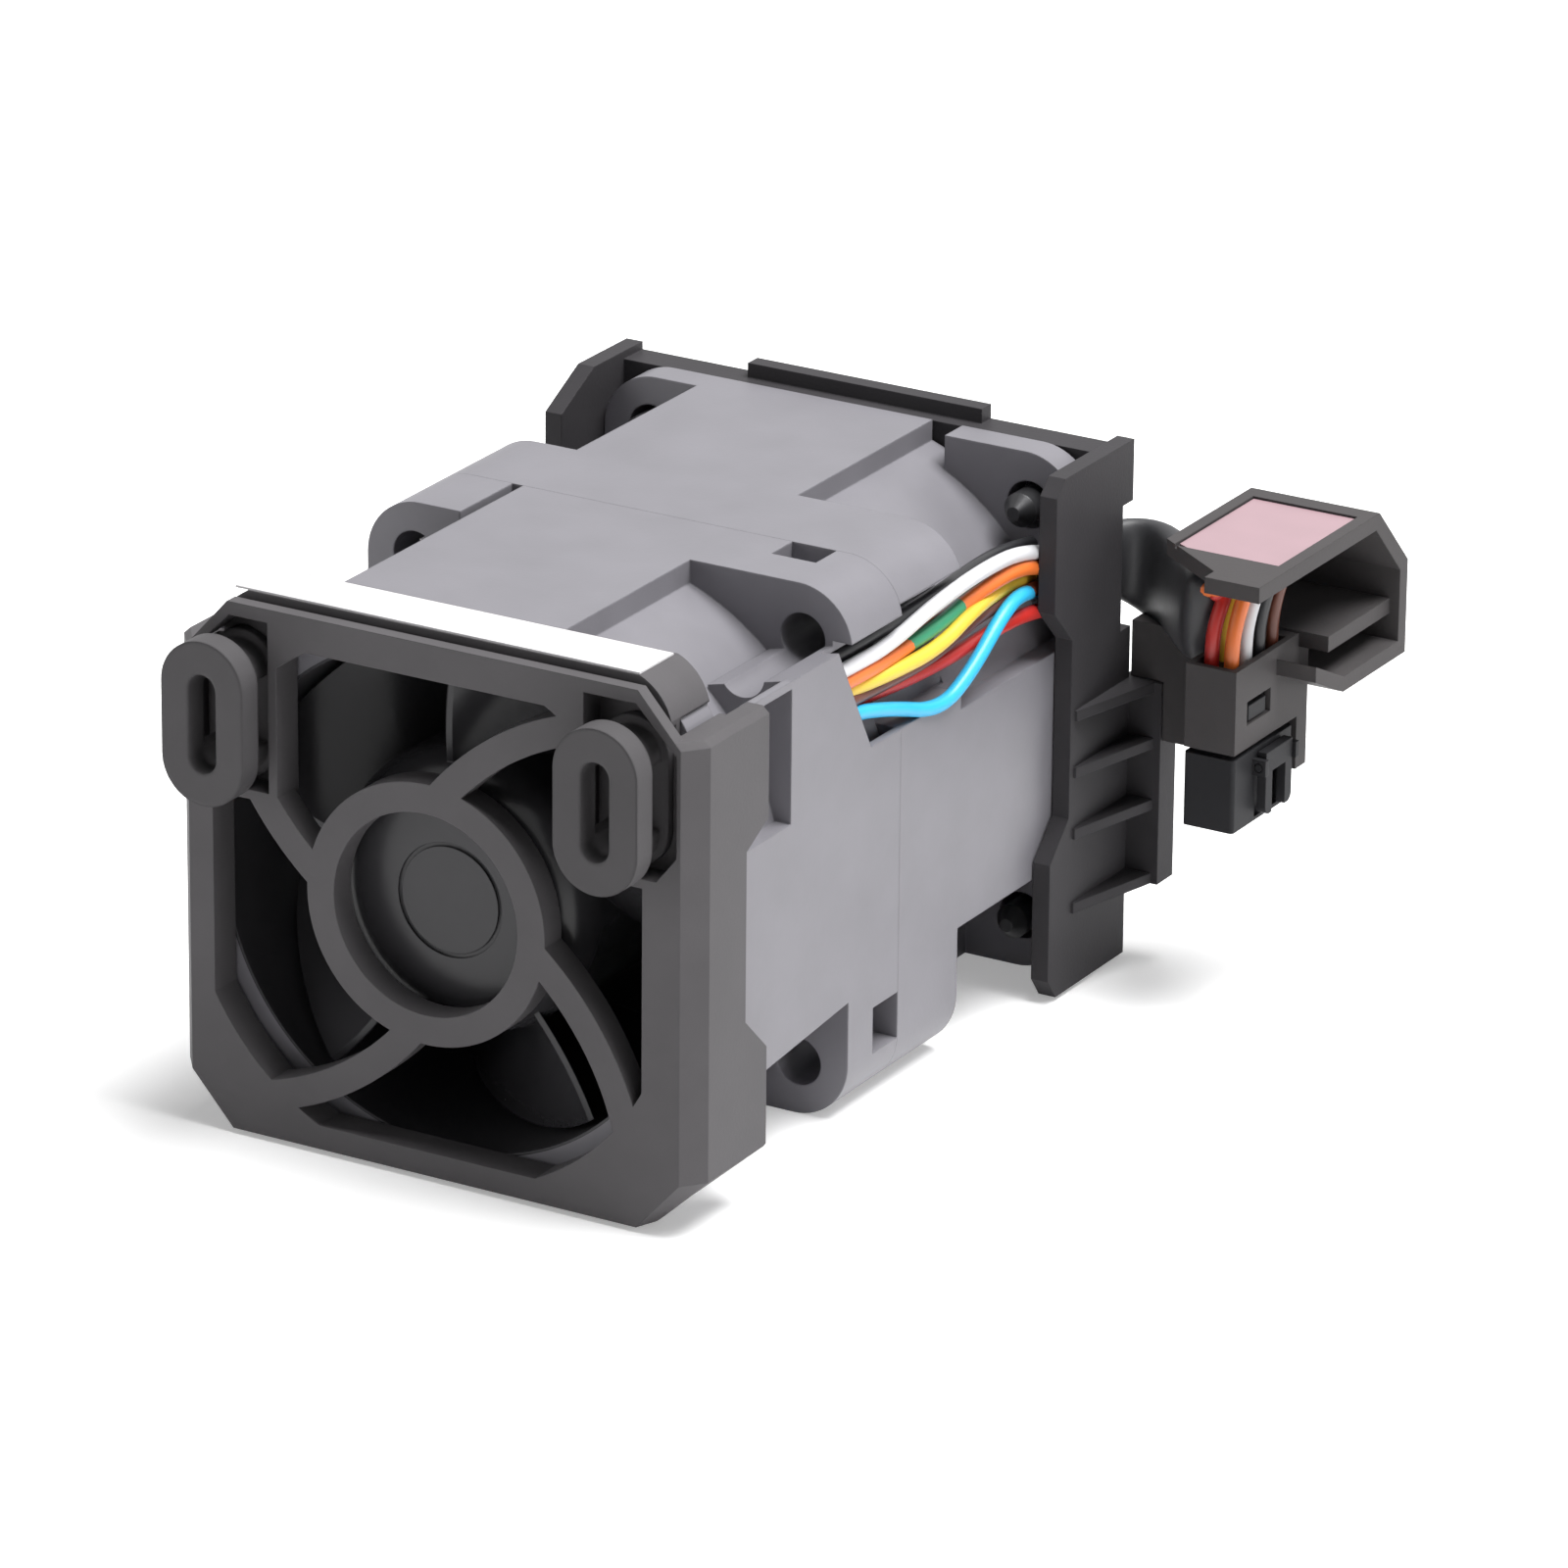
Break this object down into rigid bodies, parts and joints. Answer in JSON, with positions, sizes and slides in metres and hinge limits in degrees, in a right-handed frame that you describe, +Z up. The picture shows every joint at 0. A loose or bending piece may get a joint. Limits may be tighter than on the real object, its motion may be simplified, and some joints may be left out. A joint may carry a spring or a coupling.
{
  "type": "dual counter-rotating fan module",
  "caption": "Square two-stage axial fan module with a swirl-grille bezel, rubber isolator loops, side-run coloured wires, a rear bracket and a small hooded plug carrier.",
  "frame": {"origin": "on the resting plane, on the rotor axis seen from above, under the seam between the two fan halves", "axes": "+Y along the air flow from inlet to outlet, +Z up, +X to the right seen from the inlet"},
  "size_m": [0.0599, 0.0766, 0.0409],
  "materials": {
    "impeller_plastic": "satin moulded",
    "fan_plastic": "satin moulded",
    "bezel_plastic": "fine textured",
    "bracket_plastic": "fine textured",
    "isolator_rubber": "matt rubber",
    "label_white": "satin film",
    "label_pink": "satin film",
    "brass": "turned",
    "bearing_steel": "ground",
    "core_steel": "stamped stack",
    "copper": "enamelled wire",
    "board_green": "solder mask",
    "yoke_steel": "drawn",
    "magnet_grey": "bonded ferrite",
    "carrier_plastic": "fine textured",
    "plug_plastic": "satin moulded",
    "contact_tin": "tin plated",
    "sleeve_black": "heat-shrink",
    "wire_black": "insulation",
    "wire_white": "insulation",
    "wire_green": "insulation",
    "wire_orange": "insulation",
    "wire_yellow": "insulation",
    "wire_brown": "insulation",
    "wire_red": "insulation",
    "wire_blue": "insulation"
  },
  "bodies": {
    "root": {"bezel_label": "label_white", "cable_sleeve": "sleeve_black", "carrier_label": "label_pink", "connector_carrier": "carrier_plastic", "front_bearing_sleeve": "brass", "front_bearings": "bearing_steel", "front_bezel": "bezel_plastic", "front_circuit_board": "board_green", "front_housing": "fan_plastic", "front_stator_core": "core_steel", "front_windings": "copper", "isolator_left": "isolator_rubber", "isolator_right": "isolator_rubber", "plug_housing": "plug_plastic", "plug_terminals": "contact_tin", "rear_bearing_sleeve": "brass", "rear_bearings": "bearing_steel", "rear_bracket": "bracket_plastic", "rear_circuit_board": "board_green", "rear_housing": "fan_plastic", "rear_screws": "bearing_steel", "rear_stator_core": "core_steel", "rear_windings": "copper", "wire_black": "wire_black", "wire_blue": "wire_blue", "wire_brown": "wire_brown", "wire_green": "wire_green", "wire_orange": "wire_orange", "wire_red": "wire_red", "wire_white": "wire_white", "wire_yellow": "wire_yellow"},
    "front_rotor": {"front_impeller": "impeller_plastic", "front_rotor_yoke": "yoke_steel", "front_rotor_magnet": "magnet_grey", "front_rotor_shaft": "bearing_steel", "front_preload_washer": "bearing_steel", "front_shaft_clip": "bearing_steel"},
    "rear_rotor": {"rear_impeller": "impeller_plastic", "rear_rotor_yoke": "yoke_steel", "rear_rotor_magnet": "magnet_grey", "rear_rotor_shaft": "bearing_steel", "rear_preload_washer": "bearing_steel", "rear_shaft_clip": "bearing_steel"},
    "latch": {"plug_latch": "plug_plastic"}
  },
  "joints": [
    {"name": "front_spin", "type": "hinge", "parent": "root", "child": "front_rotor", "pos_m": [0, -0.0187, 0.02], "axis": [0, 1, 0], "continuous": true},
    {"name": "rear_spin", "type": "hinge", "parent": "root", "child": "rear_rotor", "pos_m": [0, 0.0187, 0.02], "axis": [0, 1, 0], "continuous": true},
    {"name": "latch_press", "type": "hinge", "parent": "root", "child": "latch", "pos_m": [0.0357, 0.027, 0.0199], "axis": [0, 1, 0], "range_deg": [0, 7], "stiffness_Nm_per_rad": 0.002}
  ]
}
